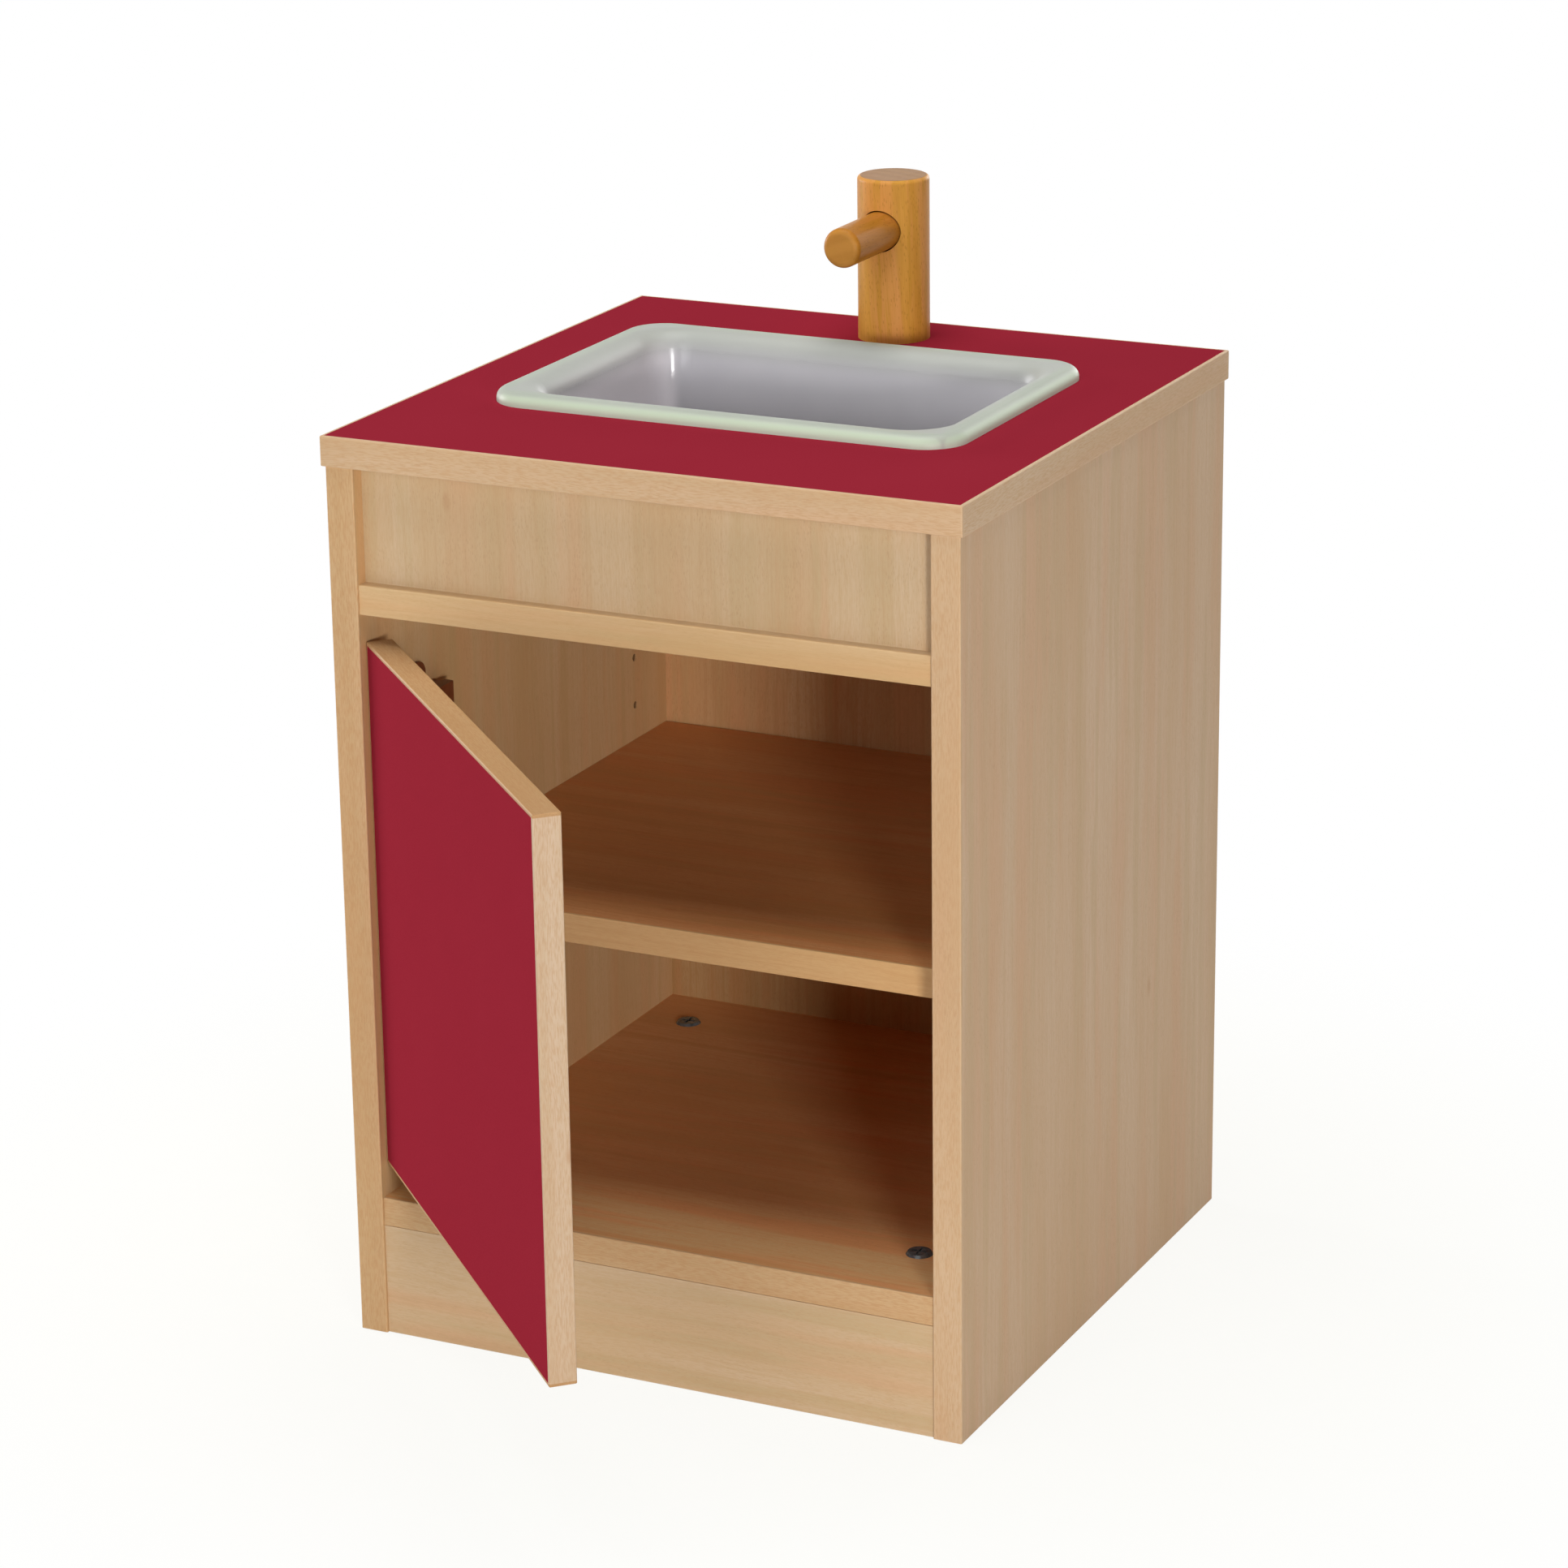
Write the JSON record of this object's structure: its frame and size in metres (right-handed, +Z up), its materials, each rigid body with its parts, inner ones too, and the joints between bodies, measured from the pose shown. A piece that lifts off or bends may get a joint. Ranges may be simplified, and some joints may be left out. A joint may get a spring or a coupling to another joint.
{
  "type": "toy sink base cabinet",
  "caption": "Child-size sink base cabinet: board carcass with a hinged inset door, inner shelf, red worktop, drop-in bowl and wooden tap.",
  "frame": {"origin": "on the floor, in the middle of the carcass's footprint", "axes": "+X to the right of someone who faces the door, +Y from the door to the back, +Z up"},
  "size_m": [0.404, 0.6381, 0.6615],
  "materials": {
    "beech_board": "beech-grain foil on board, satin",
    "beech_edge": "beech edge band, satin",
    "red_laminate": "red laminate, satin",
    "board_core": "pressed wood core, raw",
    "sink_plastic": "moulded, glossy",
    "tap_wood": "lacquered beech, glossy",
    "dowel_wood": "raw beech",
    "hinge_brown": "brown moulding, satin",
    "zinc": "zinc plated",
    "dark_zinc": "dark die-cast, satin"
  },
  "bodies": {
    "carcass": {"back_panel": "beech_board", "block_screws": "zinc", "bottom_panel": "beech_board", "bottom_panel_front_band": "beech_edge", "cam_bolts": "zinc", "cam_locks": "dark_zinc", "fascia_panel": "beech_board", "hinge_arm_screws": "zinc", "hinge_arms": "hinge_brown", "hinge_plate_screws": "zinc", "hinge_plates": "hinge_brown", "left_side_front_band": "beech_edge", "left_side_panel": "beech_board", "plinth_board": "beech_board", "right_side_front_band": "beech_edge", "right_side_panel": "beech_board", "shelf_board": "beech_board", "shelf_bolts": "zinc", "shelf_front_band": "beech_edge", "shelf_locks": "dark_zinc", "sink_bowl": "sink_plastic", "tap_post": "tap_wood", "tap_screw": "zinc", "tap_spout": "tap_wood", "tap_washer": "zinc", "upper_panel": "beech_board", "upper_panel_front_band": "beech_edge", "wooden_dowels": "dowel_wood", "worktop_blocks": "dowel_wood", "worktop_board": "board_core", "worktop_front_band": "beech_edge", "worktop_laminate": "red_laminate", "worktop_left_band": "beech_edge", "worktop_rear_band": "beech_edge", "worktop_right_band": "beech_edge"},
    "door": {"door_back_laminate": "red_laminate", "door_bottom_band": "beech_edge", "door_core": "board_core", "door_free_band": "beech_edge", "door_front_laminate": "red_laminate", "door_hinge_band": "beech_edge", "door_top_band": "beech_edge", "hinge_cups": "hinge_brown", "hinge_pins": "zinc", "hinge_cup_screws": "zinc"}
  },
  "joints": [
    {"name": "door_swing", "type": "hinge", "parent": "carcass", "child": "door", "pos_m": [-0.1723, -0.1929, 0.271], "axis": [0, 0, -1], "range_deg": [-45.2, 49.8]}
  ]
}
